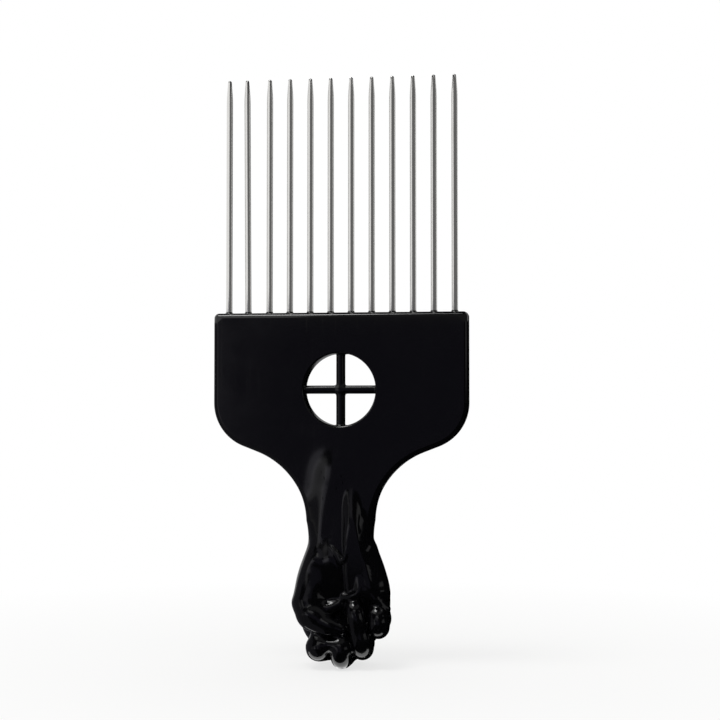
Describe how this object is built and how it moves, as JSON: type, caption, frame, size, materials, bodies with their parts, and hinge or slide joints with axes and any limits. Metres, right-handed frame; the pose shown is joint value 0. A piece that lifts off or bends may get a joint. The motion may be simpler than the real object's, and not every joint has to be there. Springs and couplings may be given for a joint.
{
  "type": "afro pick",
  "caption": "Wide-tooth hair pick with long steel pins in a flat moulded head, a round window crossed by bars, and a grip shaped as a clenched fist.",
  "frame": {"origin": "under the lowest knuckle of the fist, in the middle plane of the head, on the pick's centre line", "axes": "+Z along the pick from the fist to the tips of the pins, -Y out of the palm side of the fist, -X toward the thumb side"},
  "size_m": [0.074, 0.0201, 0.17],
  "materials": {
    "handle_plastic": "polished black injection moulding",
    "pin_steel": "bright drawn wire, nickel plated"
  },
  "bodies": {
    "root": {"handle": "handle_plastic", "pin_01": "pin_steel", "pin_02": "pin_steel", "pin_03": "pin_steel", "pin_04": "pin_steel", "pin_05": "pin_steel", "pin_06": "pin_steel", "pin_07": "pin_steel", "pin_08": "pin_steel", "pin_09": "pin_steel", "pin_10": "pin_steel", "pin_11": "pin_steel", "pin_12": "pin_steel"}
  },
  "joints": []
}
